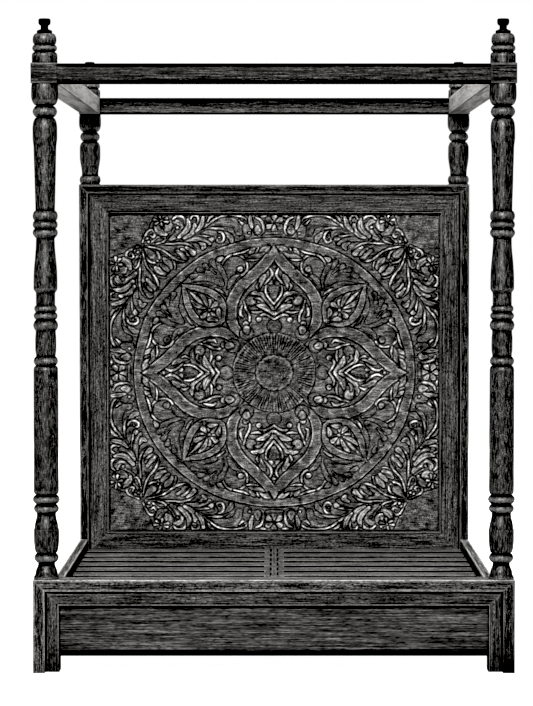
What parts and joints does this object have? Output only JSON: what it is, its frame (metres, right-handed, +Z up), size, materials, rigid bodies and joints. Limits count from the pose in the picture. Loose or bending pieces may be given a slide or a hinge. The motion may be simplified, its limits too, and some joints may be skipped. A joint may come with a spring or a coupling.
{
  "type": "canopy bed",
  "caption": "Four-poster canopy bed with turned posts, a plain footboard, a tall relief-carved headboard panel and a slatted base for a queen mattress.",
  "frame": {"origin": "on the floor, under the middle of the bed's bounding box", "axes": "+X to the right seen from the foot end, +Y from the foot end towards the headboard, +Z up"},
  "size_m": [1.646, 2.2219, 2.221],
  "materials": {
    "dark_wood": "near-black stain with pale dry-brushed grain",
    "charcoal_wood": "charcoal stain with pale open grain and rubbed edges",
    "carved_wood": "charcoal stain, high carved faces rubbed pale, ground left black",
    "grey_wood": "weathered light grey",
    "slat_wood": "weathered grey, sawn",
    "steel": "zinc plated"
  },
  "bodies": {
    "bed": {"foot_leg_left": "dark_wood", "foot_leg_right": "dark_wood", "foot_cap_rail": "charcoal_wood", "foot_panel": "charcoal_wood", "foot_inner_rail": "charcoal_wood", "foot_moulding_top": "charcoal_wood", "foot_moulding_left": "charcoal_wood", "foot_moulding_right": "charcoal_wood", "head_leg_left": "dark_wood", "head_leg_right": "dark_wood", "head_cap_rail": "charcoal_wood", "head_bottom_rail": "charcoal_wood", "head_moulding_top": "charcoal_wood", "head_moulding_bottom": "charcoal_wood", "head_moulding_left": "charcoal_wood", "head_moulding_right": "charcoal_wood", "carved_panel": "carved_wood", "head_battens": "charcoal_wood", "post_front_left": "dark_wood", "post_front_right": "dark_wood", "post_back_left": "dark_wood", "post_back_right": "dark_wood", "canopy_front_rail": "charcoal_wood", "canopy_back_rail": "charcoal_wood", "canopy_side_rail_left": "grey_wood", "canopy_side_rail_right": "grey_wood", "side_rail_left": "charcoal_wood", "side_rail_right": "charcoal_wood", "slat_cleat_left": "slat_wood", "slat_cleat_right": "slat_wood", "centre_beam": "slat_wood", "beam_leg_foot": "slat_wood", "beam_leg_middle": "slat_wood", "beam_leg_head": "slat_wood", "beam_hangers": "steel", "rail_hook_plates": "steel", "leg_slot_plates": "steel", "wood_screws": "steel", "slat_row_01": "slat_wood", "slat_row_02": "slat_wood", "slat_row_03": "slat_wood", "slat_row_04": "slat_wood", "slat_row_05": "slat_wood", "slat_row_06": "slat_wood", "slat_row_07": "slat_wood", "slat_row_08": "slat_wood", "slat_row_09": "slat_wood", "slat_row_10": "slat_wood", "slat_row_11": "slat_wood", "slat_row_12": "slat_wood", "slat_row_13": "slat_wood"},
    "finial_front_left": {"finial_front_left": "dark_wood"},
    "finial_front_right": {"finial_front_right": "dark_wood"},
    "finial_back_left": {"finial_back_left": "dark_wood"},
    "finial_back_right": {"finial_back_right": "dark_wood"},
    "glide_foot": {"glide_foot": "steel"},
    "glide_middle": {"glide_middle": "steel"},
    "glide_head": {"glide_head": "steel"}
  },
  "joints": [
    {"name": "finial_front_left_lift", "type": "slide", "parent": "bed", "child": "finial_front_left", "axis": [0, 0, 1], "range_m": [0, 0.05]},
    {"name": "finial_front_right_lift", "type": "slide", "parent": "bed", "child": "finial_front_right", "axis": [0, 0, 1], "range_m": [0, 0.05]},
    {"name": "finial_back_left_lift", "type": "slide", "parent": "bed", "child": "finial_back_left", "axis": [0, 0, 1], "range_m": [0, 0.05]},
    {"name": "finial_back_right_lift", "type": "slide", "parent": "bed", "child": "finial_back_right", "axis": [0, 0, 1], "range_m": [0, 0.05]},
    {"name": "glide_foot_level", "type": "slide", "parent": "bed", "child": "glide_foot", "axis": [0, 0, 1], "range_m": [0, 0.014]},
    {"name": "glide_middle_level", "type": "slide", "parent": "bed", "child": "glide_middle", "axis": [0, 0, 1], "range_m": [0, 0.014]},
    {"name": "glide_head_level", "type": "slide", "parent": "bed", "child": "glide_head", "axis": [0, 0, 1], "range_m": [0, 0.014]}
  ]
}
